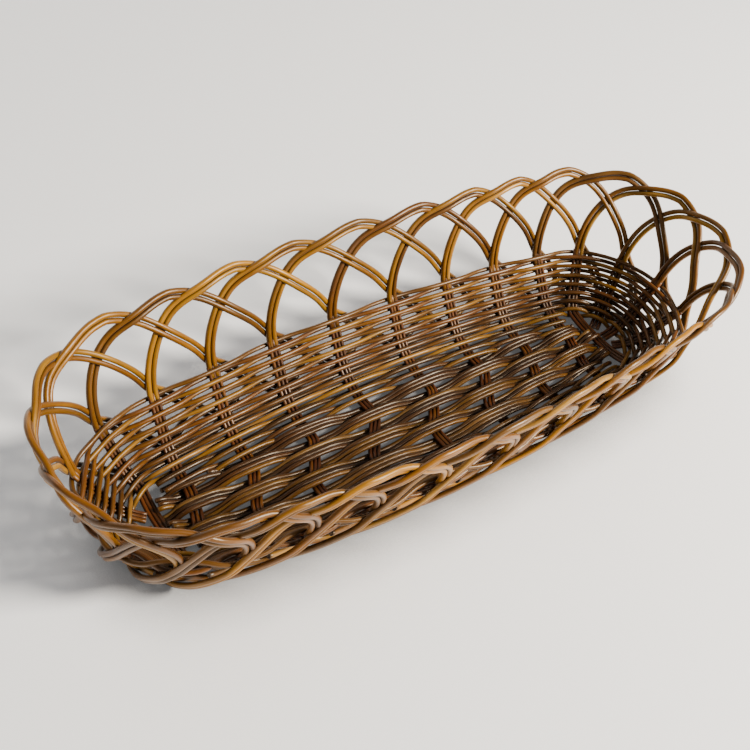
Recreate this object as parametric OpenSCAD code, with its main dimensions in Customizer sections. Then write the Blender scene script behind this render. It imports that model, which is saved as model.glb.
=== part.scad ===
// Oval wicker bread basket: a woven base, a low flared woven wall, and an open
// border of tall arches, each a pair of rods that reaches over three stakes and
// tucks in at the foot. Millimetres, +Z up, +X along the basket. The origin is
// on the table, under the middle of the basket.

/* [Overall size] */
// Length across the woven wall's top edge
rim_l = 354; // [340:2:370]
// Width across the woven wall's top edge
rim_w = 118; // [114:1:124]
// Radius of the outline's rounded ends, at the wall's top edge
end_r = 50; // [48:1:52]
// Height of the woven wall's top edge above the table
wall_h = 35; // [34:0.5:37]
// Height of the middle of the arches' tops above the table
arch_h = 79; // [74:1:84]
// How far the arches lean outwards between the wall and their tops
arch_lean = 15; // [8:1:17]
// Steepness of the woven wall, in degrees from level
wall_slope = 56; // [54:1:58]

/* [Rods] */
// Diameter of the thin rods that are woven along the base and round the wall
weaver_d = 2.3; // [2:0.1:2.3]
// Diameter of the rods in a stake, which lie side by side
stake_d = 2.2; // [2:0.1:2.3]
// Diameter of the two rods in a border arch
border_d = 2.9; // [2.4:0.1:3]

/* [Weave] */
// Distance from one woven row to the next
row_pitch = 2.65; // [2.6:0.01:2.7]
// Distance from the middle of the base to each end stick
base_reach = 140; // [138:1:142]
// How much closer the stakes stand at the ends than along the sides
crowding = 0.23; // [0.15:0.01:0.3]
// How far the hand-set stakes drift along the middle of each side
drift = 8; // [0:1:10]

/* [Hidden] */
// Stakes: twelve along each long side and one at the tip of each end
side_stakes = 12;
half_turn = side_stakes + 1;
arches = 2 * half_turn;
// The stakes that cross the base; the others fan out of its two ends
cross_stakes = side_stakes - 2;
rods_per_stake = 3;
stake_w = rods_per_stake * stake_d;
arch_span = 3;

// Outline: an oval of two side arcs and two end arcs, tangent where they meet
end_x = rim_l / 2 - end_r;
side_r = (end_x ^ 2 + (rim_w / 2) ^ 2 - end_r ^ 2) / (rim_w - 2 * end_r);
side_y = rim_w / 2 - side_r;
side_turn = asin(end_x / (side_r - end_r));
side_arc = side_r * side_turn * PI / 180;
quarter = side_arc + end_r * (90 - side_turn) * PI / 180;

// Profile: level base, round heel, straight wall. The middle of the weave is
// the stakes' own layer, with one layer of weavers below it and one above.
base_z = weaver_d + stake_d / 2;
layer = (weaver_d + stake_d) / 2 + 0.05;
heel_in = -36.5;
wall_run = (wall_h - base_z) / tan(wall_slope);
heel_r = (-wall_run - heel_in) / tan(wall_slope / 2);
heel_len = heel_r * wall_slope * PI / 180;

// Weaving rows, counted outwards from the flat of the base: the first few run
// along the sides only, the next close round the heel, the rest are the wall
edge_rows = 4;
heel_rows = 4;
wall_rows = 11;

// Lengthwise weavers of the base: six groups of three rods, side by side
base_groups = 6;
group_rods = 3;
group_pitch = 7.3;
// Half-lengths of the outermost groups' rods, from the innermost rod outwards
outer_reach = [124, 103, 82];

pale = [0.72, 0.50, 0.28];
tan_brown = [0.60, 0.38, 0.19];
red_brown = [0.47, 0.25, 0.12];

// ---- Where things are ----

// Distance along the outline from the middle of a side, at stake number u,
// which counts clockwise from the left tip and may lie between two stakes
function turned(u) = u - arches * floor(u / arches);
function far_half(u) = turned(u) < half_turn;
function along(u) =
    let (t = (turned(u) - (far_half(u) ? 0 : half_turn)) * 2 / half_turn - 1)
    quarter * t * (1 + crowding * (1 - abs(t))) + drift * cos(90 * t) ^ 2;

// Heading of the outward normal at distance s, in degrees from +Y to +X
function heading(s) = abs(s) <= side_arc
    ? s / side_r * 180 / PI
    : sign(s) * (side_turn + (abs(s) - side_arc) / end_r * 180 / PI);

function far_point(s, off) =
    let (a = heading(s), on_side = abs(s) <= side_arc, r = (on_side ? side_r : end_r) + off)
    [(on_side ? 0 : sign(s) * end_x) + r * sin(a), (on_side ? side_y : 0) + r * cos(a)];

function half_sign(u) = far_half(u) ? 1 : -1;
function place(u, off, z) = let (p = half_sign(u) * far_point(along(u), off)) [p.x, p.y, z];
function outward(u) = let (a = heading(along(u))) half_sign(u) * [sin(a), cos(a), 0];

// Offset of a point in plan from the outline, and the outward direction there
function by_side(p) = atan2(abs(p.x), abs(p.y) - side_y) <= side_turn;
function arc_centre(p) = by_side(p)
    ? [0, (p.y < 0 ? -1 : 1) * side_y]
    : [sign(p.x) * end_x, 0];
function offset_of(p) = norm([p.x, p.y] - arc_centre(p)) - (by_side(p) ? side_r : end_r);
function outward_at(p) = let (d = [p.x, p.y] - arc_centre(p)) [d.x, d.y, 0] / max(norm(d), 0.001);

// Slope and height of the middle of the weave at an offset from the outline
function slope_at(off) = off <= heel_in
    ? 0
    : min(wall_slope, asin(min(1, (off - heel_in) / heel_r)));
function height_at(off) = let (a = slope_at(off)) a < wall_slope
    ? base_z + heel_r * (1 - cos(a))
    : wall_h + off * tan(wall_slope);

// The same profile by the length l of weave from the flat of the base
function profile(l) = l < heel_len
    ? let (a = l / heel_r * 180 / PI) [heel_in + heel_r * sin(a), base_z + heel_r * (1 - cos(a)), a]
    : let (d = (l - heel_len) * cos(wall_slope), top = heel_in + heel_r * sin(wall_slope) + d)
        [top, wall_h + top * tan(wall_slope), wall_slope];

// Middle of row r: odd rows pass inside the stakes and even rows outside
function row_at(r) =
    let (p = profile((r - 0.5) * row_pitch), side = r % 2 == 1 ? 1 : -1)
    [p[0] - side * layer * sin(p[2]), p[1] + side * layer * cos(p[2])];

// ---- Rods swept along a path ----

// A flat oval rod or bundle: at each point its width lies across the path in
// the weave's surface, and its thickness lies along the surface's normal
module strand(path, normals, width, thick, sides) {
    n = len(path);
    rings = [for (i = [0:n - 1])
        let (
            t = path[min(i + 1, n - 1)] - path[max(i - 1, 0)],
            w = cross(normals[i], t) / norm(cross(normals[i], t)),
            h = cross(t, w) / norm(cross(t, w))
        )
        each [for (k = [0:sides - 1])
            let (a = 360 * (k + 0.5) / sides)
            path[i] + w * cos(a) * width / 2 + h * sin(a) * thick / 2]];
    skin = [for (i = [0:n - 2], k = [0:sides - 1])
        let (a = i * sides + k, b = i * sides + (k + 1) % sides)
        each [[a, b, b + sides], [a, b + sides, a + sides]]];
    start = [for (k = [1:sides - 2]) [0, k + 1, k]];
    end = [for (k = [1:sides - 2]) (n - 1) * sides * [1, 1, 1] + [0, k, k + 1]];
    polyhedron(points = rings, faces = concat(start, skin, end));
}

// Points in plan lifted onto the middle of the weave
module stake_strand(plan) {
    strand(
        [for (p = plan) [p.x, p.y, height_at(offset_of(p))]],
        [for (p = plan) let (a = slope_at(offset_of(p))) outward_at(p) * sin(a) - [0, 0, cos(a)]],
        stake_w, stake_d, 6
    );
}

function between(a, b, steps) = [for (i = [0:steps]) a + (b - a) * i / steps];
function capped(x) = min(base_reach, max(-base_reach, x));

// A closed row round the basket, square in section
module row_ring(r) {
    at = row_at(r);
    turns = [0:4 * arches - 1];
    translate([0, 0, at[1] - weaver_d / 2])
        linear_extrude(weaver_d)
            difference() {
                polygon([for (i = turns) let (p = place(i / 4, at[0] + weaver_d / 2, 0)) [p.x, p.y]]);
                polygon([for (i = turns) let (p = place(i / 4, at[0] - weaver_d / 2, 0)) [p.x, p.y]]);
            }
}

// ---- Sub-parts ----

// One group of the base's lengthwise weavers; odd groups lie under the stakes
// and rest on the table, even groups lie on them. The outermost groups' rods
// get shorter outwards, as the base's edge curves in
module base_weaver(g) {
    width = group_rods * weaver_d;
    reach = base_reach - stake_w / 2 - 1;
    y = (g - (base_groups + 1) / 2) * group_pitch;
    z = g % 2 == 1 ? 0 : weaver_d + stake_d + 0.1;
    color(g % 2 == 1 ? tan_brown : pale)
        if (g == 1 || g == base_groups)
            mirror([0, y < 0 ? 1 : 0, 0])
                for (i = [1:group_rods])
                    translate([-outer_reach[i - 1], abs(y) - width / 2, z])
                        cube([2 * outer_reach[i - 1], i * weaver_d, weaver_d]);
        else
            translate([-reach, y - width / 2, z])
                cube([2 * reach, width, weaver_d]);
}

// The single rods along both sides of the base, ending at the end sticks
module base_edge_rows() {
    sweep = asin((base_reach - stake_w) / side_r);
    color(pale)
        for (side = [0, 1], r = [1:edge_rows]) {
            at = row_at(r);
            rotate(180 * side)
                translate([0, side_y, at[1]])
                    rotate(90 - sweep)
                        rotate_extrude(angle = 2 * sweep, $fn = 720)
                            translate([side_r + at[0], 0])
                                circle(d = weaver_d - 0.1, $fn = 24);
        }
}

// A stake that crosses under the base and climbs the wall on both sides
module stake(k) {
    far = place(k + 1, 0, 0);
    near = place(arches - k - 1, 0, 0);
    bend = 24;
    color(red_brown)
        stake_strand(concat(
            between([far.x, far.y], [capped(far.x), bend], 8),
            between([capped(far.x), bend / 2], [capped(near.x), -bend / 2], 2),
            between([capped(near.x), -bend], [near.x, near.y], 8)
        ));
}

// The three short stakes that fan out of one end of the base
module end_stakes(tip) {
    start_x = base_reach + stake_w / 2 + 1;
    start_gap = 8;
    color(red_brown)
        for (i = [-1:1]) {
            top = place(tip + i, 0, 0);
            stake_strand(between(
                [sign(top.x) * start_x, i == 0 ? 0 : sign(top.y) * start_gap],
                [top.x, top.y], 9
            ));
        }
}

module heel() {
    color(pale)
        for (r = [edge_rows + 1:edge_rows + heel_rows]) row_ring(r);
}

module wall_row(r) {
    color(r % 2 == 1 ? pale : tan_brown)
        row_ring(edge_rows + heel_rows + r);
}

// ---- Border ----

// An arch rises square from its stake, passes outside the arch two before it
// and inside the last one, tops out, then passes outside the next arch, inside
// the one after, and lands outside the third stake on. From there it runs down
// the outside of the wall, turns up at the foot and tucks behind its neighbour.
apex_at = 0.51;
rise_power = 2.1;
fall_power = 1.35;
weave_out = border_d / 2 + 0.15;
pair_w = 2 * border_d;

// [share of the span, share of the height] at a, which is 0 at the start and 180 at the landing
function arch_curve(a) = a < 90
    ? [apex_at * (1 - abs(cos(a)) ^ (2 / rise_power)), abs(sin(a)) ^ (2 / rise_power)]
    : [apex_at + (1 - apex_at) * abs(cos(a)) ^ (2 / fall_power), abs(sin(a)) ^ (2 / fall_power)];

// How far the pair stands out of the arches' middle surface along the span,
// in stakes: inside at its start, then out, in, out, in and out again
weave_keys = [[0, 0], [0.5, 1], [1, -1], [1.5, 0], [2, 1], [2.5, -1], [3, 1.2]];

// The way down outside the wall: [stakes past the landing, height, offset]
foot_z = border_d;
way_down = [
    [0.28, 28, 1.9], [0.54, 19.5, -1.9], [0.8, 11.5, -6.4], [1.04, 5.8, -10.4],
    [1.26, foot_z + 0.3, -12.9], [1.43, foot_z, -14.4], [1.6, foot_z + 0.8, -15], [1.8, 6.1, -14.2],
    [2, 9.6, -11.9], [2.3, 13.2, -9.2], [2.55, 17, -6.7]
];

module border_pair(i) {
    start = i - 1;
    up = [for (a = [0:12:156])
        let (c = arch_curve(a), u = c[0] * arch_span)
        [start + u, wall_h + (arch_h - wall_h) * c[1],
            arch_lean * c[1] + weave_out * lookup(u, weave_keys)]];
    keys = concat(up, [[start + arch_span + 0.06, wall_h, weave_out * 1.7]],
        [for (k = way_down) [start + arch_span + k[0], k[1], k[2]]]);
    tilt = atan2(arch_lean, arch_h - wall_h);
    color(i % 2 == 1 ? pale : tan_brown)
        strand(
            [for (k = keys) place(k[0], k[2], k[1])],
            [for (k = keys) outward(k[0]) * cos(tilt) - [0, 0, sin(tilt)]],
            pair_w, border_d, 8
        );
}

for (g = [1:base_groups])
    base_weaver(g);
base_edge_rows();
for (k = [1:cross_stakes])
    stake(k);
end_stakes(0);  // end_stakes_left
end_stakes(half_turn);  // end_stakes_right
heel();  // heel_rows
for (r = [1:wall_rows])
    wall_row(r);
for (i = [1:arches])
    border_pair(i);
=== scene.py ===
import math
import random

import bpy
import numpy as np
from mathutils import Matrix, Vector


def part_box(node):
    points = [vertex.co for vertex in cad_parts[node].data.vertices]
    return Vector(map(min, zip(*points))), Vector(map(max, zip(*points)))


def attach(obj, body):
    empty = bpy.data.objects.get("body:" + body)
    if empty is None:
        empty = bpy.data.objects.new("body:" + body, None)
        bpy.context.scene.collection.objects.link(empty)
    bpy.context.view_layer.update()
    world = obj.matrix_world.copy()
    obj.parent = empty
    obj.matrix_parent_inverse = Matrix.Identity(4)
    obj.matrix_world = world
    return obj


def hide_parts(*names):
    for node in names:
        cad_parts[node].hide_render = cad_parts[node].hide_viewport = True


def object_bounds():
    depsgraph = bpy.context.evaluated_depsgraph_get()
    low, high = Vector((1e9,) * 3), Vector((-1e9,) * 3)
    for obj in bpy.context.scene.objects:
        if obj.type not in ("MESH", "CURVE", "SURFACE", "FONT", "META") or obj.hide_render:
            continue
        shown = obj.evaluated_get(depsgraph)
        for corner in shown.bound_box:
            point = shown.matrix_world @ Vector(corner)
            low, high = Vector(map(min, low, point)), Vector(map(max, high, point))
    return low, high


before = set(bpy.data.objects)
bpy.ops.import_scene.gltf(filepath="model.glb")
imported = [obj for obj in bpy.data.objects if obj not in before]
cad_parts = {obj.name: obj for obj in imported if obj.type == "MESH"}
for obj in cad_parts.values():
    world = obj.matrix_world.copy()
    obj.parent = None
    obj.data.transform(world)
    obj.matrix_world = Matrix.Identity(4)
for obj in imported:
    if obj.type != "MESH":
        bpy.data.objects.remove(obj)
cad_low, cad_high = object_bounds()

MM = 0.001
rng = random.Random(11)

# ---- The basket's shape, in millimetres and degrees ----
# These repeat the part's design values. Only the rim's size and the arches' height, further
# down, are read from the frame.
WEAVER_D, STAKE_D, BORDER_D = 2.3, 2.2, 2.9
STAKE_W = 6.6  # width of a stake, three rods side by side
BASE_Z = WEAVER_D + STAKE_D / 2
LAYER = (WEAVER_D + STAKE_D) / 2
RING_GAP = 0.05  # the CAD's rows stand this much further off the stakes than LAYER
WALL_H, WALL_SLOPE = 35.0, 56.0
HEEL_IN = -36.5  # offset from the outline at which the flat of the base ends
END_R = 50.0  # radius of the outline's end arcs
REACH = 140.0  # x beyond which no stake crosses the base
CROWDING, DRIFT = 0.23, 8.0  # how stakes crowd towards the ends, and drift along the sides
LEAN = 15.0  # how far the arches' tops stand outside the outline
PAIR_TOP = 2.45  # a border pair's top edge above its centre line
HALF, ARCHES, SPAN = 13, 26, 3  # places on half the outline, border pairs, places each pair spans
STAKES, GROUPS = 10, 6  # stakes across the base, groups of rods along it
PITCH = 2.65  # distance between rows, along the weave
EDGE_ROWS, HEEL_ROWS, WALL_ROWS = 4, 4, 11
ROWS = EDGE_ROWS + HEEL_ROWS + WALL_ROWS


def tan(a):
    return math.tan(math.radians(a))


def sin(a):
    return math.sin(math.radians(a))


def cos(a):
    return math.cos(math.radians(a))


WALL_RUN = (WALL_H - BASE_Z) / tan(WALL_SLOPE)
HEEL_R = (-WALL_RUN - HEEL_IN) / tan(WALL_SLOPE / 2)
HEEL_LEN = HEEL_R * math.radians(WALL_SLOPE)


def profile(l):
    """Offset from the outline, height and slope of the weave at length l from the flat of the base."""
    if l < HEEL_LEN:
        a = max(0.0, math.degrees(l / HEEL_R))
        return HEEL_IN + min(l, 0) + HEEL_R * sin(a), BASE_Z + HEEL_R * (1 - cos(a)), a
    top = HEEL_IN + HEEL_R * sin(WALL_SLOPE) + (l - HEEL_LEN) * cos(WALL_SLOPE)
    return top, WALL_H + top * tan(WALL_SLOPE), WALL_SLOPE


TOP_ROW = profile((ROWS - 0.5) * PITCH)
TOP_ROW_OUT = TOP_ROW[0] - (LAYER + RING_GAP) * sin(TOP_ROW[2]) + WEAVER_D / 2
TOP_ROW_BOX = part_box("wall_row_11")
RIM_L = 2 * (TOP_ROW_BOX[1].x / MM - TOP_ROW_OUT)
RIM_W = 2 * (TOP_ROW_BOX[1].y / MM - TOP_ROW_OUT)
ARCH_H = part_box("border_pair_6")[1].z / MM - PAIR_TOP

# The outline is four tangent arcs: of radius SIDE_R on the far and near sides, of END_R at the ends
END_X = RIM_L / 2 - END_R
SIDE_R = (END_X ** 2 + (RIM_W / 2) ** 2 - END_R ** 2) / (RIM_W - 2 * END_R)
SIDE_Y = RIM_W / 2 - SIDE_R
TURN = math.degrees(math.asin(END_X / (SIDE_R - END_R)))
SIDE_ARC = SIDE_R * math.radians(TURN)
QUARTER = SIDE_ARC + END_R * math.radians(90 - TURN)
ROUND = 4 * QUARTER


# ---- Places on the outline ----
def along(u):
    """Distance along the outline from the middle of a side to stake u, a number that may be fractional."""
    t = (u % ARCHES - (0 if u % ARCHES < HALF else HALF)) * 2 / HALF - 1
    return QUARTER * t * (1 + CROWDING * (1 - abs(t))) + DRIFT * cos(90 * t) ** 2


def heading(s):
    """Direction square to the outline at distance s from the middle of a side, in degrees from Y."""
    if abs(s) <= SIDE_ARC:
        return math.degrees(s / SIDE_R)
    return math.copysign(TURN + math.degrees((abs(s) - SIDE_ARC) / END_R), s)


def at_s(s, sgn, off, z):
    """Point off mm outside the outline; sgn is 1 on the far side and -1 on the near side."""
    a = heading(s)
    on = abs(s) <= SIDE_ARC
    r = (SIDE_R if on else END_R) + off
    x = (0 if on else math.copysign(END_X, s)) + r * sin(a)
    y = (SIDE_Y if on else 0) + r * cos(a)
    return Vector((sgn * x, sgn * y, z))


def sgn_of(u):
    return 1 if u % ARCHES < HALF else -1


def place(u, off, z):
    """Point at stake number u, off mm outside the outline."""
    return at_s(along(u), sgn_of(u), off, z)


def outward(u):
    """Level direction out of the basket at stake number u."""
    a = heading(along(u))
    return Vector((sin(a), cos(a), 0)) * sgn_of(u)


def by_side(p):
    """Whether the point lies against a side arc, not an end arc."""
    return math.degrees(math.atan2(abs(p.x), abs(p.y) - SIDE_Y)) <= TURN


def arc_centre(p):
    if by_side(p):
        return Vector((0, math.copysign(1, p.y) * SIDE_Y, 0))
    return Vector((math.copysign(END_X, p.x), 0, 0))


def offset_of(p):
    c = arc_centre(p)
    return math.hypot(p.x - c.x, p.y - c.y) - (SIDE_R if by_side(p) else END_R)


def outward_at(p):
    c = arc_centre(p)
    d = Vector((p.x - c.x, p.y - c.y, 0))
    return d / max(d.length, 0.001)


def slope_at(off):
    if off <= HEEL_IN:
        return 0.0
    return min(WALL_SLOPE, math.degrees(math.asin(min(1, (off - HEEL_IN) / HEEL_R))))


def height_at(off):
    a = slope_at(off)
    return BASE_Z + HEEL_R * (1 - cos(a)) if a < WALL_SLOPE else WALL_H + off * tan(WALL_SLOPE)


def closed_s(p):
    """Distance round the outline, clockwise from the left tip, of a point in plan."""
    far = p.y > 0 or (p.y == 0 and p.x > 0)
    q = p * (1 if far else -1)
    if by_side(q):
        s = SIDE_R * math.atan2(q.x, q.y - SIDE_Y)
    else:
        c = math.copysign(END_X, q.x)
        a = math.degrees(math.atan2(abs(q.x - c), q.y))
        if (q.x - c) * c < 0:
            a = -a
        s = math.copysign(SIDE_ARC + END_R * math.radians(a - TURN), q.x)
    return (s + QUARTER + (0 if far else 2 * QUARTER)) % ROUND


def at_closed(w, off, z):
    """Point at distance w round the outline, off mm outside it."""
    w %= ROUND
    if w < 2 * QUARTER:
        return at_s(w - QUARTER, 1, off, z)
    return at_s(w - 3 * QUARTER, -1, off, z)


# ---- Smooth noise and curves ----
class Wander:
    """A smooth random curve, the same on every run.

    It strays by up to about size, has a random value every step mm, and repeats after loop mm where
    loop is given.
    """

    def __init__(self, size, step, seed, loop=0.0):
        self.step, self.size, self.n = step, size, 4096
        r = random.Random(seed)
        if loop:
            self.n = max(4, round(loop / step))
            self.step = loop / self.n
        self.v = [r.uniform(-1, 1) for _ in range(self.n)]

    def __call__(self, x):
        x = x / self.step
        i = math.floor(x)
        f = x - i
        a, b, c, d = (self.v[(i + k) % self.n] for k in (-1, 0, 1, 2))
        bend = 2 * a - 5 * b + 4 * c - d + f * (3 * (b - c) + d - a)
        return self.size * 0.75 * (b + 0.5 * f * (c - a + f * bend))


def blend(p, q, tp, tq, t):
    """Point at t on the line that is at p when t is tp and at q when t is tq."""
    return p * ((tq - t) / (tq - tp)) + q * ((t - tp) / (tq - tp))


def smooth(points, step):
    """Centripetal curve through the points, resampled about every step mm."""
    pts = [Vector(p) for p in points]
    pts = [2 * pts[0] - pts[1]] + pts + [2 * pts[-1] - pts[-2]]
    out = []
    for i in range(1, len(pts) - 2):
        p0, p1, p2, p3 = pts[i - 1:i + 3]
        t0 = 0.0
        t1 = t0 + max((p1 - p0).length, 1e-4) ** 0.5
        t2 = t1 + max((p2 - p1).length, 1e-4) ** 0.5
        t3 = t2 + max((p3 - p2).length, 1e-4) ** 0.5
        n = max(1, round((p2 - p1).length / step))
        for k in range(n):
            t = t1 + (t2 - t1) * k / n
            a1 = blend(p0, p1, t0, t1, t)
            a2 = blend(p1, p2, t1, t2, t)
            a3 = blend(p2, p3, t2, t3, t)
            b1 = blend(a1, a2, t0, t2, t)
            b2 = blend(a2, a3, t1, t3, t)
            out.append(blend(b1, b2, t1, t2, t))
    out.append(pts[-2])
    return out


def direction(points, j):
    """Direction of a path at its point j."""
    return points[min(j + 1, len(points) - 1)] - points[max(j - 1, 0)]


# ---- Rods ----
ROD_BUMP, BUMP_STEP = 0.045, 9  # a rod's thickness wanders by this share, about every 9 mm
CAP_SHRINK, CAP_RISE, TIP_RISE = 0.78, 0.16, 0.2  # the bevel round a cut end, in radii
CAP_EDGE_TONE, CAP_TONE = 0.5, 1.0  # how far the end's faces show pith
GRAIN_SHIFT = 5  # each rod's grain starts somewhere in the first 5 units of the pattern


def frames(p, closed):
    """Direction of a path at each point, and two directions across it that turn as little as they can."""
    if closed:
        t = np.roll(p, -1, 0) - np.roll(p, 1, 0)
    else:
        t = np.gradient(p, axis=0)
    t /= np.maximum(np.linalg.norm(t, axis=1, keepdims=True), 1e-9)
    ref = np.array([0.0, 0.0, 1.0]) if abs(t[0][2]) < 0.9 else np.array([1.0, 0, 0])
    cur = np.cross(t[0], ref)
    cur /= np.linalg.norm(cur)
    w = np.empty_like(p)
    for i in range(len(p)):
        cur = cur - t[i] * cur.dot(t[i])
        cur /= np.linalg.norm(cur)
        w[i] = cur
    return t, w, np.cross(t, w)


def varied(diameter, spread):
    """A rod's radius, between the two shares in spread of the CAD's."""
    return diameter / 2 * rng.uniform(*spread)


class Bundle:
    """Collects rods into one mesh, with a coordinate along and round each rod and a tone per rod."""

    def __init__(self):
        self.v, self.f, self.uv, self.tone, self.ends = [], [], [], [], []

    def face(self, corners, uv, tone, end):
        self.f.append(corners)
        self.uv.append(uv)
        self.tone.append(tone)
        self.ends.append(end)

    def rod(self, path, radius, tone=None, sides=10, closed=False, taper=(1, 1), seed=0):
        p = np.array([tuple(q) for q in path], float)
        n = len(p)
        t, w, h = frames(p, closed)
        seg = np.linalg.norm(np.diff(p, axis=0), axis=1)
        dist = np.concatenate([[0], np.cumsum(seg)])
        total = dist[-1] + (np.linalg.norm(p[0] - p[-1]) if closed else 0)
        share = dist / max(total, 1e-6)
        bump = Wander(ROD_BUMP, BUMP_STEP, seed * 13 + 5, loop=total if closed else 0)
        rad = radius * (taper[0] + (taper[1] - taper[0]) * share) * np.array([1 + bump(d) for d in dist])
        twist = 0.0  # what is left over when a closed rod's directions come back to the start
        if closed:
            twist = math.atan2(np.dot(np.cross(w[-1], w[0]), t[0]), np.dot(w[-1], w[0]))

        start = len(self.v)
        for i in range(n):
            for k in range(sides):
                a = 2 * math.pi * k / sides + twist * share[i]
                self.v.append(p[i] + w[i] * math.cos(a) * rad[i] + h[i] * math.sin(a) * rad[i])

        if tone is None:
            tone = (rng.random(), rng.random(), rng.random())
        v0 = rng.random() * GRAIN_SHIFT
        for i in range(n if closed else n - 1):
            j = (i + 1) % n
            g0 = dist[i] * MM + v0
            g1 = (dist[j] if j else total) * MM + v0
            a, b = start + i * sides, start + j * sides
            for k in range(sides):
                k2 = (k + 1) % sides
                s0, s1 = k / sides, (k + 1) / sides
                corners = (a + k, a + k2, b + k2, b + k)
                self.face(corners, ((g0, s0), (g0, s1), (g1, s1), (g1, s0)), tone, 0.0)

        if not closed:
            self.cap([start + k for k in range(sides)], p[0], -t[0] * rad[0], tone, v0, True)
            last = start + (n - 1) * sides
            self.cap([last + k for k in range(sides)], p[-1], t[-1] * rad[-1], tone, v0, False)

    def cap(self, base, centre, out, tone, v0, flip):
        """Closes the ring of vertices in base with a bevelled end. out points off the rod by one radius."""
        inner = len(self.v)
        for corner in base:
            self.v.append(centre + (self.v[corner] - centre) * CAP_SHRINK + out * CAP_RISE)
        tip = len(self.v)
        self.v.append(centre + out * TIP_RISE)
        v1 = v0 + 0.001
        for k in range(len(base)):
            k2 = (k + 1) % len(base)
            quad = (base[k], base[k2], inner + k2, inner + k)
            tri = (inner + k, inner + k2, tip)
            if flip:
                quad, tri = quad[::-1], tri[::-1]
            self.face(quad, ((v0, 0.0), (v0, 0.1), (v1, 0.1), (v1, 0.0)), tone, CAP_EDGE_TONE)
            self.face(tri, ((v0, 0.0), (v0, 0.1), (v1, 0.05)), tone, CAP_TONE)

    def build(self, name, material, nodes):
        mesh = bpy.data.meshes.new(name)
        mesh.from_pydata([tuple(q * MM) for q in self.v], [], self.f)
        uv = mesh.uv_layers.new(name="grain")
        uv.data.foreach_set("uv", [c for face in self.uv for pair in face for c in pair])
        col = mesh.color_attributes.new(name="tone", type="FLOAT_COLOR", domain="CORNER")
        corner_tones = []
        for face, tone, end in zip(self.f, self.tone, self.ends):
            corner_tones += [*tone, end] * len(face)
        col.data.foreach_set("color", corner_tones)
        mesh.polygons.foreach_set("use_smooth", [True] * len(mesh.polygons))
        mesh.update()
        mesh.validate()
        ob = bpy.data.objects.new(name, mesh)
        bpy.context.scene.collection.objects.link(ob)
        mesh.materials.append(material)
        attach(ob, "root")
        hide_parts(*nodes)


# ---- Willow: varnished rods with long grain, mottling and greyish cut ends ----
MIX_FACTOR, MIX_A, MIX_B, MIX_RESULT = 0, 6, 7, 2  # the sockets of Blender's Mix node for colours
PITH = (0.23, 0.17, 0.12, 1)


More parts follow.
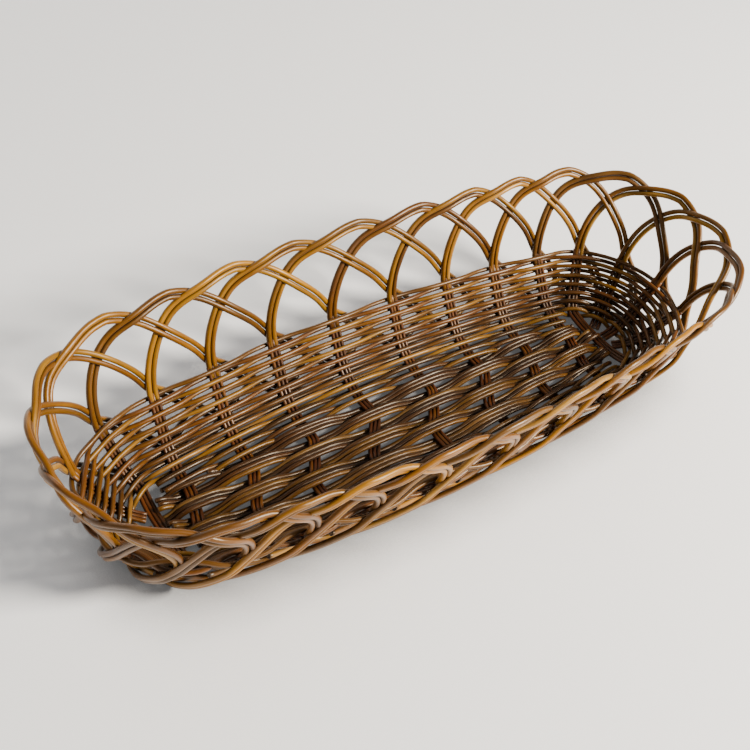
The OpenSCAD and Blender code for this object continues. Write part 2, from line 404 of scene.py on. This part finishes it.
def willow(name, dark, mid, light, rough):
    m = bpy.data.materials.new(name)
    m.use_nodes = True
    nt = m.node_tree
    nt.nodes.clear()
    link = nt.links.new

    def node(kind, **sockets):
        n = nt.nodes.new(kind)
        for k, v in sockets.items():
            n.inputs[k.replace("_", " ")].default_value = v
        return n

    def math_node(op, a, b, clamp=False):
        n = nt.nodes.new("ShaderNodeMath")
        n.operation = op
        n.use_clamp = clamp
        for i, x in enumerate((a, b)):
            if isinstance(x, (int, float)):
                n.inputs[i].default_value = x
            else:
                link(x, n.inputs[i])
        return n.outputs[0]

    def add(a, b):
        return math_node("ADD", a, b)

    def times(a, b):
        return math_node("MULTIPLY", a, b)

    out = node("ShaderNodeOutputMaterial")
    bsdf = node("ShaderNodeBsdfPrincipled", Specular_IOR_Level=0.42, Specular_Tint=(1.0, 0.86, 0.66, 1),
                Coat_Weight=0.12, Coat_Roughness=0.28, Coat_Tint=(1.0, 0.93, 0.82, 1), Sheen_Weight=0.04)
    link(bsdf.outputs[0], out.inputs[0])
    uv = node("ShaderNodeUVMap")
    uv.uv_map = "grain"
    tone = node("ShaderNodeVertexColor")
    tone.layer_name = "tone"
    sep = node("ShaderNodeSeparateColor")
    link(tone.outputs["Color"], sep.inputs[0])
    lightness, redness, strength = sep.outputs[0], sep.outputs[1], sep.outputs[2]
    coord = node("ShaderNodeTexCoord")

    def stretched(su, sv, detail, seed):
        """Noise drawn out along the rod: su is its scale along the grain and sv round it."""
        mapping = node("ShaderNodeMapping", Scale=(su, sv, 1), Location=(seed, seed * 0.7, 0))
        link(uv.outputs[0], mapping.inputs[0])
        n = node("ShaderNodeTexNoise", Scale=1.0, Detail=detail, Roughness=0.6)
        link(mapping.outputs[0], n.inputs["Vector"])
        return n.outputs[0]

    grain = stretched(60, 9, 5.0, 3.1)
    fine = stretched(220, 30, 3.0, 8.2)
    patches = stretched(45, 1.2, 3.0, 1.7)
    mottle = node("ShaderNodeTexNoise", Scale=38.0, Detail=4.0, Roughness=0.55)
    link(coord.outputs["Object"], mottle.inputs["Vector"])

    # How light each point is, from the rod's own tone and the four patterns
    v = times(lightness, 0.46)
    for pattern, weight in ((grain, 0.30), (patches, 0.42), (mottle.outputs[0], 0.22)):
        v = add(v, times(pattern, weight))
    v = math_node("SUBTRACT", v, 0.22, clamp=True)
    ramp = node("ShaderNodeValToRGB")
    stops = ramp.color_ramp.elements
    stops[0].position, stops[0].color = 0.08, (*dark, 1)
    stops[1].position, stops[1].color = 0.92, (*light, 1)
    stops.new(0.5).color = (*mid, 1)
    link(v, ramp.inputs[0])

    # Some rods are redder or stronger in colour than others
    hue = node("ShaderNodeHueSaturation")
    link(ramp.outputs[0], hue.inputs["Color"])
    link(add(times(redness, -0.012), 0.510), hue.inputs["Hue"])
    link(add(times(strength, 0.16), 1.10), hue.inputs["Saturation"])

    # Painted shade: ambient occlusion darkens the colour in the grooves between rods, where shade falls
    ao = node("ShaderNodeAmbientOcclusion", Distance=0.009)
    ao.samples = 6
    groove_shade_range = node("ShaderNodeMapRange", From_Min=0.15, From_Max=0.85, To_Min=0.16, To_Max=1.0)
    link(ao.outputs["AO"], groove_shade_range.inputs["Value"])
    painted_groove_shade = node("ShaderNodeMix")
    painted_groove_shade.data_type = "RGBA"
    painted_groove_shade.blend_type = "MULTIPLY"
    painted_groove_shade.inputs[MIX_FACTOR].default_value = 1.0
    link(hue.outputs[0], painted_groove_shade.inputs[MIX_A])
    link(groove_shade_range.outputs[0], painted_groove_shade.inputs[MIX_B])

    # Cut ends show greyish pith
    cut = node("ShaderNodeMix")
    cut.data_type = "RGBA"
    link(tone.outputs["Alpha"], cut.inputs[MIX_FACTOR])
    link(painted_groove_shade.outputs[MIX_RESULT], cut.inputs[MIX_A])
    cut.inputs[MIX_B].default_value = PITH
    link(cut.outputs[MIX_RESULT], bsdf.inputs["Base Color"])

    # Roughness wanders around rough, and the grain stands out in relief
    link(add(times(fine, 0.22), rough - 0.11), bsdf.inputs["Roughness"])
    bump = node("ShaderNodeBump", Strength=0.35, Distance=0.0004)
    link(add(times(grain, 1.0), times(fine, 0.5)), bump.inputs["Height"])
    link(bump.outputs[0], bsdf.inputs["Normal"])
    return m


# Each willow's dark, middle and light colour and its roughness. The weaver's colours are kept darker than
# the border's, partly as painted shade for the inside of the basket
WEAVER = willow("willow_weaver", (0.018, 0.0054, 0.0013), (0.115, 0.042, 0.0090), (0.34, 0.175, 0.056), 0.36)
# Painted shade: the base's copy is darker still than the weaver's, for the shade over the base
SHADED_BASE = willow("willow_base_shaded", (0.010, 0.0031, 0.0008), (0.062, 0.0225, 0.0052), (0.25, 0.130, 0.046), 0.33)
STAKE = willow("willow_stake", (0.020, 0.005, 0.0012), (0.090, 0.023, 0.0048), (0.21, 0.070, 0.016), 0.40)
BORDER = willow("willow_border", (0.028, 0.0088, 0.0020), (0.160, 0.063, 0.0140), (0.46, 0.250, 0.082), 0.36)

# ---- Paths of the stakes, in plan ----
LEG_Y, MID_Y = 24, 12  # a stake runs from the rim to LEG_Y, and straight across the base within MID_Y
LEG_STEPS, MID_STEPS = 12, 3
FAN_X, FAN_Y, FAN_STEPS = 144.3, 8, 14  # where the three stakes at each end start on the base


def capped(x):
    return min(REACH, max(-REACH, x))


def between(a, b, steps):
    return [(a[0] + (b[0] - a[0]) * i / steps, a[1] + (b[1] - a[1]) * i / steps)
            for i in range(steps + 1)]


def lift(plan):
    """Raises a path in plan onto the middle surface of the weave."""
    return [Vector((x, y, height_at(offset_of(Vector((x, y, 0)))))) for x, y in plan]


def weave_normal(p):
    """Direction square to the weave, outward and down."""
    a = slope_at(offset_of(p))
    return outward_at(p) * sin(a) - Vector((0, 0, cos(a)))


# half_plans holds each stake's path from the base to the rim, by its number on the border, 0 to 25
stake_plans, half_plans = {}, {}
for k in range(1, STAKES + 1):
    far, near = place(k + 1, 0, 0), place(ARCHES - k - 1, 0, 0)
    fx, nx = capped(far.x), capped(near.x)
    plan = (between((far.x, far.y), (fx, LEG_Y), LEG_STEPS) + between((fx, MID_Y), (nx, -MID_Y), MID_STEPS)
            + between((nx, -LEG_Y), (near.x, near.y), LEG_STEPS))
    mid = len(plan) // 2
    stake_plans[k] = plan
    half_plans[k + 1] = plan[:mid + 1][::-1]
    half_plans[ARCHES - k - 1] = plan[mid:]
fan_plans = {"left": [], "right": []}
for tip, key in ((0, "left"), (HALF, "right")):
    for i in (-1, 0, 1):
        top = place(tip + i, 0, 0)
        foot_x = math.copysign(1, top.x) * FAN_X
        foot_y = 0 if i == 0 else math.copysign(FAN_Y, top.y)
        plan = between((foot_x, foot_y), (top.x, top.y), FAN_STEPS)
        fan_plans[key].append(plan)
        half_plans[(tip + i) % ARCHES] = plan

# ---- How the rows pass over and under the stakes ----
CROSS_STEPS = 12  # parts that each step of a stake's path is searched in
SHARPNESS = 1.5  # how squarely a rod turns between over and under


def crossing(u, off):
    """Distance round the outline at which stake u reaches offset off."""
    pts = half_plans[u]
    for (x0, y0), (x1, y1) in zip(pts, pts[1:]):
        for j in range(CROSS_STEPS):
            f = j / CROSS_STEPS
            p = Vector((x0 + (x1 - x0) * f, y0 + (y1 - y0) * f, 0))
            if offset_of(p) >= off:
                return closed_s(p)
    return closed_s(Vector((*pts[-1], 0)))


def phase_table(off):
    """Distances round the outline at which a row crosses the stakes, and the stakes' numbers."""
    t = sorted((crossing(u, off) if u else 0.0, u) for u in range(ARCHES))
    w = [a for a, _ in t]
    ids = [float(b) for _, b in t]
    w = [w[-1] - ROUND] + w + [w[0] + ROUND]
    ids = [ids[-1] - ARCHES] + ids + [ids[0] + ARCHES]
    return np.array(w), np.array(ids)


def over(phase):
    """1 where a rod passes over an even stake, -1 where it passes under an odd one."""
    c = math.cos(math.pi * phase)
    return math.tanh(SHARPNESS * c) / math.tanh(SHARPNESS)


# ---- Rows round the base's edge, the heel and the wall ----
# The visible rods' radii, as shares of the CAD's
EDGE_SPREAD, ROW_SPREAD, BASE_SPREAD = (1.04, 1.12), (1.02, 1.1), (1.06, 1.14)
STAKE_SPREAD, BORDER_SPREAD = (0.93, 1.02), (0.95, 1.01)
ROD_STEP = 2.6  # distance between a weaver's rings of vertices
WALL_LIGHTNESS = (0.25, 0.9)  # range of a wall rod's first tone, where the others' is 0 to 1
EDGE_PAST = (1.5, 5.0)  # how far the base's edge rods run past the CAD's
OWN, SHARED = 0.55, 0.45  # how much each row wanders alone, and with the others

row_noise = [Wander(0.5, 38, 300 + r, loop=ROUND) for r in range(ROWS + 1)]
shared_noise = Wander(0.7, 60, 77, loop=ROUND)


def sway(r):
    """Two factors on how far row r wanders: little at the base's edge and near the wall's top."""
    grows = min(1.0, max(0.0, (r - 3) / 6)) if r > EDGE_ROWS else 0.35
    fades = max(0.35, min(1.0, (19.6 - r) / 3))
    return grows, fades


def row_path(r, w0, w1, closed=False):
    l0 = (r - 0.5) * PITCH
    crossings, stakes = phase_table(profile(l0)[0])
    grows, fades = sway(r)
    pts = []
    n = max(8, round((w1 - w0) / ROD_STEP))
    for i in range(n if closed else n + 1):
        w = w0 + (w1 - w0) * i / n
        phase = float(np.interp(w % ROUND, crossings, stakes))
        side = over(phase) * (1 if r % 2 else -1)
        l = l0 + (row_noise[r](w) * OWN + shared_noise(w) * SHARED) * grows * fades
        off, z, a = profile(l)
        h = side * LAYER
        pts.append(at_closed(w, off - h * sin(a), z + h * cos(a)))
    return pts


edges = Bundle()
EDGE_SWEEP = math.degrees(math.asin((REACH - STAKE_W) / SIDE_R))
for side in (0, 1):
    for r in range(1, EDGE_ROWS + 1):
        reach = SIDE_R * math.radians(EDGE_SWEEP) + rng.uniform(*EDGE_PAST)
        middle = QUARTER + side * 2 * QUARTER
        path = row_path(r, middle - reach, middle + reach)
        edges.rod(path, varied(WEAVER_D, EDGE_SPREAD), seed=r + 9 * side)
edges.build("base_edge_rods", SHADED_BASE, ["base_edge_rows"])

heel = Bundle()
for r in range(EDGE_ROWS + 1, EDGE_ROWS + HEEL_ROWS + 1):
    heel.rod(row_path(r, 0, ROUND, closed=True), varied(WEAVER_D, ROW_SPREAD), seed=40 + r, closed=True)
heel.build("heel_rods", WEAVER, ["heel_rows"])

for i in range(1, WALL_ROWS + 1):
    r = EDGE_ROWS + HEEL_ROWS + i
    b = Bundle()
    b.rod(row_path(r, 0, ROUND, closed=True), varied(WEAVER_D, ROW_SPREAD), seed=60 + r, closed=True,
          tone=(rng.uniform(*WALL_LIGHTNESS), rng.random(), rng.random()))
    b.build(f"wall_rod_{i}", WEAVER, [f"wall_row_{i}"])

# ---- Base ----
GROUP_PITCH = 7.3
BASE_ROD_PITCH = 1.07  # distance between a group's rods, in rod diameters
INNER_REACH, OUTER_REACH = 137, (131, 107, 86)  # half lengths; the outermost groups are stepped
LENGTH_SPREAD, RIGHT_SPREAD = 2.5, 2  # how much the rods' half lengths vary, and their right ends again
SIDE_DRIFT = 0.6  # how much of its noise moves a base rod sideways
OVER_LIFT = 1.18  # the rods bulge a little further above the stakes than below
EDGE_HALF_W, EDGE_CURVE = 25.0, 1848  # the base's curved edge is at y = EDGE_HALF_W - x * x / EDGE_CURVE


def stake_x(k, y):
    """x at which stake k crosses y on the base."""
    plan = stake_plans[k][::-1]
    return float(np.interp(y, [p[1] for p in plan], [p[0] for p in plan]))


for g in range(1, GROUPS + 1):
    b = Bundle()
    outer = g in (1, GROUPS)
    y0 = (g - (GROUPS + 1) / 2) * GROUP_PITCH
    for i in (-1, 0, 1):
        y = y0 + i * WEAVER_D * BASE_ROD_PITCH
        xs = [stake_x(k, y) for k in range(1, STAKES + 1)]
        step = xs[1] - xs[0]
        xs = [xs[0] - step] + xs + [xs[-1] + step]
        ids = list(range(STAKES + 2))
        order = 1 + (i if g == GROUPS else -i)
        reach = (OUTER_REACH[order] if outer else INNER_REACH) + rng.uniform(-LENGTH_SPREAD, LENGTH_SPREAD)
        left, right = -reach, reach + rng.uniform(-RIGHT_SPREAD, RIGHT_SPREAD)
        drift_y = Wander(0.55, 45, 500 + g * 7 + i)
        pts = []
        n = round((right - left) / ROD_STEP)
        for j in range(n + 1):
            x = left + (right - left) * j / n
            side = over(float(np.interp(x, xs, ids)) + g)
            z = BASE_Z + side * LAYER * (OVER_LIFT if side > 0 else 1.0)
            yy = y + drift_y(x + 400) * SIDE_DRIFT
            if outer:
                yy = math.copysign(min(abs(yy), EDGE_HALF_W - x * x / EDGE_CURVE), yy)
            pts.append(Vector((x, yy, max(z, WEAVER_D / 2))))
        b.rod(pts, varied(WEAVER_D, BASE_SPREAD), seed=100 + g * 3 + i)
    b.build(f"base_rods_{g}", SHADED_BASE, [f"base_weaver_{g}"])

# ---- Stakes ----
STAKE_STEP = 3.0
STAKE_ROD_PITCH = 0.97  # distance between a stake's rods, in rod diameters


def stake_rods(bundle, plan, seed):
    """Lays a stake's three rods side by side in the surface of the weave."""
    mid = smooth(lift(plan), STAKE_STEP)
    for i in (-1, 0, 1):
        path = []
        wobble = Wander(0.35, 30, seed * 5 + i)
        for j, p in enumerate(mid):
            across = weave_normal(p).cross(direction(mid, j)).normalized()
            path.append(p + across * (i * STAKE_D * STAKE_ROD_PITCH + wobble(j * STAKE_STEP)))
        bundle.rod(path, varied(STAKE_D, STAKE_SPREAD), seed=seed * 3 + i)


for k in range(1, STAKES + 1):
    b = Bundle()
    stake_rods(b, stake_plans[k], 700 + k)
    b.build(f"stake_rods_{k}", STAKE, [f"stake_{k}"])
for key in ("left", "right"):
    b = Bundle()
    for n, plan in enumerate(fan_plans[key]):
        stake_rods(b, plan, 800 + n + (10 if key == "left" else 0))
    b.build(f"end_stake_rods_{key}", STAKE, [f"end_stakes_{key}"])

# ---- Border ----
APEX, RISE, FALL = 0.51, 2.1, 1.35  # an arch's top, as a share of its span, and its halves' powers
OUT = BORDER_D / 2 + 0.15  # how far a pair stands off the border's middle surface
# Stakes along an arch, and where the pair stands there: 1 outside its neighbours, -1 inside
KEYS = [(0, 0), (0.5, 1), (1, -1), (1.5, 0), (2, 1), (2.5, -1), (3, 1.2)]
STUB, STUB_IN = 5, 0.9  # a pair starts this far below the wall's top, by this share of the wall's slope
ARCH_LIFT, ARCH_SKEW = (-1.2, 0.9), (-0.05, 0.05)  # how arches differ, in height and in stakes sideways
ARCH_STEP, ARCH_END = 6, 160  # degrees round an arch
LANDING, LANDING_OUT = 0.06, 1.7  # stakes past the span, and offset in OUT, at the wall's top
FOOT = BORDER_D
# The way down outside the wall: stakes past the span, height and offset from the outline
DOWN = [(0.28, 28, 1.9), (0.54, 19.5, -1.9), (0.8, 11.5, -6.4), (1.04, 5.8, -10.4),
        (1.26, FOOT + 0.3, -12.9), (1.43, FOOT, -14.4), (1.6, FOOT + 0.8, -15), (1.8, 6.1, -14.2),
        (2, 9.6, -11.9), (2.3, 13.2, -9.2), (2.55, 17, -6.7)]
TILT = math.degrees(math.atan2(LEAN, ARCH_H - WALL_H))
BORDER_ROD_GAP = 0.99  # least distance between a pair's rods, in rod diameters
BORDER_STEP, BORDER_TAPER, BORDER_SIDES = 2.4, (1.02, 0.94), 12
NOISE_STEP, NOISE_SHARE = 6.0, 0.7  # mm of noise per point, and how much of it parts a pair's rods
CUT_PAIRS = (23, 24)  # the last pairs woven are cut off short at the foot
CUT_POINTS = {-1: 6, 1: 7}  # points that each rod of a cut pair loses
FINAL_POINTS = {-1: 0, 1: 1}  # points that each rod of any other pair loses, so the two ends are uneven


def weave(u):
    """Where a pair stands, in or out, u stakes along its arch."""
    for (a, x), (b, y) in zip(KEYS, KEYS[1:]):
        if u <= b:
            f = (u - a) / (b - a)
            f = f * f * (3 - 2 * f)
            return x + (y - x) * f
    return KEYS[-1][1]


def arch_curve(a):
    """Share of the span and share of the height, at a degrees round an arch."""
    if a < 90:
        return APEX * (1 - abs(cos(a)) ** (2 / RISE)), abs(sin(a)) ** (2 / RISE)
    return APEX + (1 - APEX) * abs(cos(a)) ** (2 / FALL), abs(sin(a)) ** (2 / FALL)


def border_keys(start):
    """A pair's centre line: stake number, height and offset from the outline."""
    lift_up = rng.uniform(*ARCH_LIFT)
    skew = rng.uniform(*ARCH_SKEW)
    keys = [(start, WALL_H - STUB, -STUB / tan(WALL_SLOPE) * STUB_IN)]
    for a in range(0, ARCH_END, ARCH_STEP):
        across, up = arch_curve(a)
        u = across * SPAN
        z = WALL_H + (ARCH_H - WALL_H + lift_up) * up
        keys.append((start + u + skew * sin(a), z, LEAN * up + OUT * weave(u)))
    keys.append((start + SPAN + LANDING, WALL_H, OUT * LANDING_OUT))
    return keys + [(start + SPAN + u, z, off) for u, z, off in DOWN]


for i in range(1, ARCHES + 1):
    keys = border_keys(i - 1)
    centre = [place(u, off, z) for u, z, off in keys]
    face = [outward(u) * cos(TILT) - Vector((0, 0, sin(TILT))) for u, _, _ in keys]
    across = [face[j].cross(direction(centre, j)).normalized() for j in range(len(centre))]
    b = Bundle()
    for rod in (-1, 1):
        gap = Wander(0.28, 30, 900 + i * 2 + rod)
        path = [c + s * rod * (BORDER_D / 2 * BORDER_ROD_GAP + abs(gap(j * NOISE_STEP)) * NOISE_SHARE)
                for j, (c, s) in enumerate(zip(centre, across))]
        lost = (CUT_POINTS if i in CUT_PAIRS else FINAL_POINTS)[rod]
        path = smooth(path[:len(path) - lost], BORDER_STEP)
        b.rod(path, varied(BORDER_D, BORDER_SPREAD), seed=900 + i * 2 + rod, taper=BORDER_TAPER,
              sides=BORDER_SIDES)
    b.build(f"border_rods_{i}", BORDER, [f"border_pair_{i}"])

# ---- Studio, in metres ----
FLOOR_HALF, BEND_Y, BEND_R, BACK_TOP = 6.0, 1.6, 0.8, 3.0  # the floor curves up into a back wall
FLOOR_DROP = 0.0002  # the floor lies this far below the basket


def stage_floor():
    z = cad_low[2] - FLOOR_DROP
    prof = [(-FLOOR_HALF, z), (BEND_Y, z)]
    prof += [(BEND_Y + BEND_R * sin(a), z + BEND_R * (1 - cos(a))) for a in range(10, 91, 10)]
    prof.append((BEND_Y + BEND_R, BACK_TOP))
    verts = [(x, y, zz) for y, zz in prof for x in (-FLOOR_HALF, FLOOR_HALF)]
    faces = [(2 * i, 2 * i + 1, 2 * i + 3, 2 * i + 2) for i in range(len(prof) - 1)]
    mesh = bpy.data.meshes.new("studio_floor")
    mesh.from_pydata(verts, [], faces)
    mesh.polygons.foreach_set("use_smooth", [True] * len(mesh.polygons))
    ob = bpy.data.objects.new("studio_floor", mesh)
    bpy.context.scene.collection.objects.link(ob)
    m = bpy.data.materials.new("studio_pale")
    m.use_nodes = True
    mesh.materials.append(m)
    nodes, link = m.node_tree.nodes, m.node_tree.links.new
    bsdf = nodes["Principled BSDF"]
    for socket, value in (("Roughness", 0.9), ("Specular IOR Level", 0.1),
                          ("Emission Color", (1, 1, 1, 1)), ("Emission Strength", 0.08)):
        bsdf.inputs[socket].default_value = value
    # Painted shadow: ambient occlusion darkens the floor's colour close under the basket
    ao = nodes.new("ShaderNodeAmbientOcclusion")
    ao.samples = 8
    ao.inputs["Distance"].default_value = 0.035
    shade = nodes.new("ShaderNodeMapRange")
    for socket, value in (("From Min", 0.1), ("From Max", 0.9), ("To Min", 0.04), ("To Max", 0.95)):
        shade.inputs[socket].default_value = value
    link(ao.outputs["AO"], shade.inputs["Value"])
    link(shade.outputs[0], bsdf.inputs["Base Color"])


LAMP_AIM = Vector((0, 0, 0.03))


def area(name, at, size, power, colour):
    """A round lamp that shines on the middle of the basket."""
    data = bpy.data.lights.new(name, "AREA")
    data.shape = "DISK"
    data.size = size
    data.energy = power
    data.color = colour
    ob = bpy.data.objects.new(name, data)
    bpy.context.scene.collection.objects.link(ob)
    ob.location = at
    ob.rotation_euler = (LAMP_AIM - Vector(at)).to_track_quat("-Z", "Y").to_euler()


stage_floor()
area("key", (0.95, -1.0, 0.95), size=0.40, power=88, colour=(1.0, 0.93, 0.83))
area("fill", (-1.4, -0.6, 1.3), size=1.4, power=2, colour=(0.95, 0.97, 1.0))
area("back", (-0.2, 1.5, 1.3), size=1.2, power=5, colour=(1, 1, 1))
world = bpy.data.worlds.new("studio")
world.use_nodes = True
sky = world.node_tree.nodes["Background"]
sky.inputs["Color"].default_value = (0.95, 0.97, 1.0, 1)
sky.inputs["Strength"].default_value = 0.22
bpy.context.scene.world = world

# ---- Camera, fitted to the photo's angle ----
CAM_AT = Vector((-0.2789, -0.2792, 0.4263))
CAM_AIM = Vector((-0.0121, 0.0164, 0.030))
CAM_ROLL, CAM_LENS, CAM_SENSOR = 10.67, 52.87, 36
cam = bpy.data.cameras.new("camera")
cam.lens = CAM_LENS
cam.sensor_width = CAM_SENSOR
camera = bpy.data.objects.new("camera", cam)
bpy.context.scene.collection.objects.link(camera)
forward = (CAM_AIM - CAM_AT).normalized()
level_right = forward.cross(Vector((0, 0, 1))).normalized()
level_up = level_right.cross(forward)
right = level_right * cos(CAM_ROLL) + level_up * sin(CAM_ROLL)
up = level_up * cos(CAM_ROLL) - level_right * sin(CAM_ROLL)
camera.matrix_world = Matrix(((right.x, up.x, -forward.x, CAM_AT.x),
                              (right.y, up.y, -forward.y, CAM_AT.y),
                              (right.z, up.z, -forward.z, CAM_AT.z),
                              (0, 0, 0, 1)))
bpy.context.scene.camera = camera
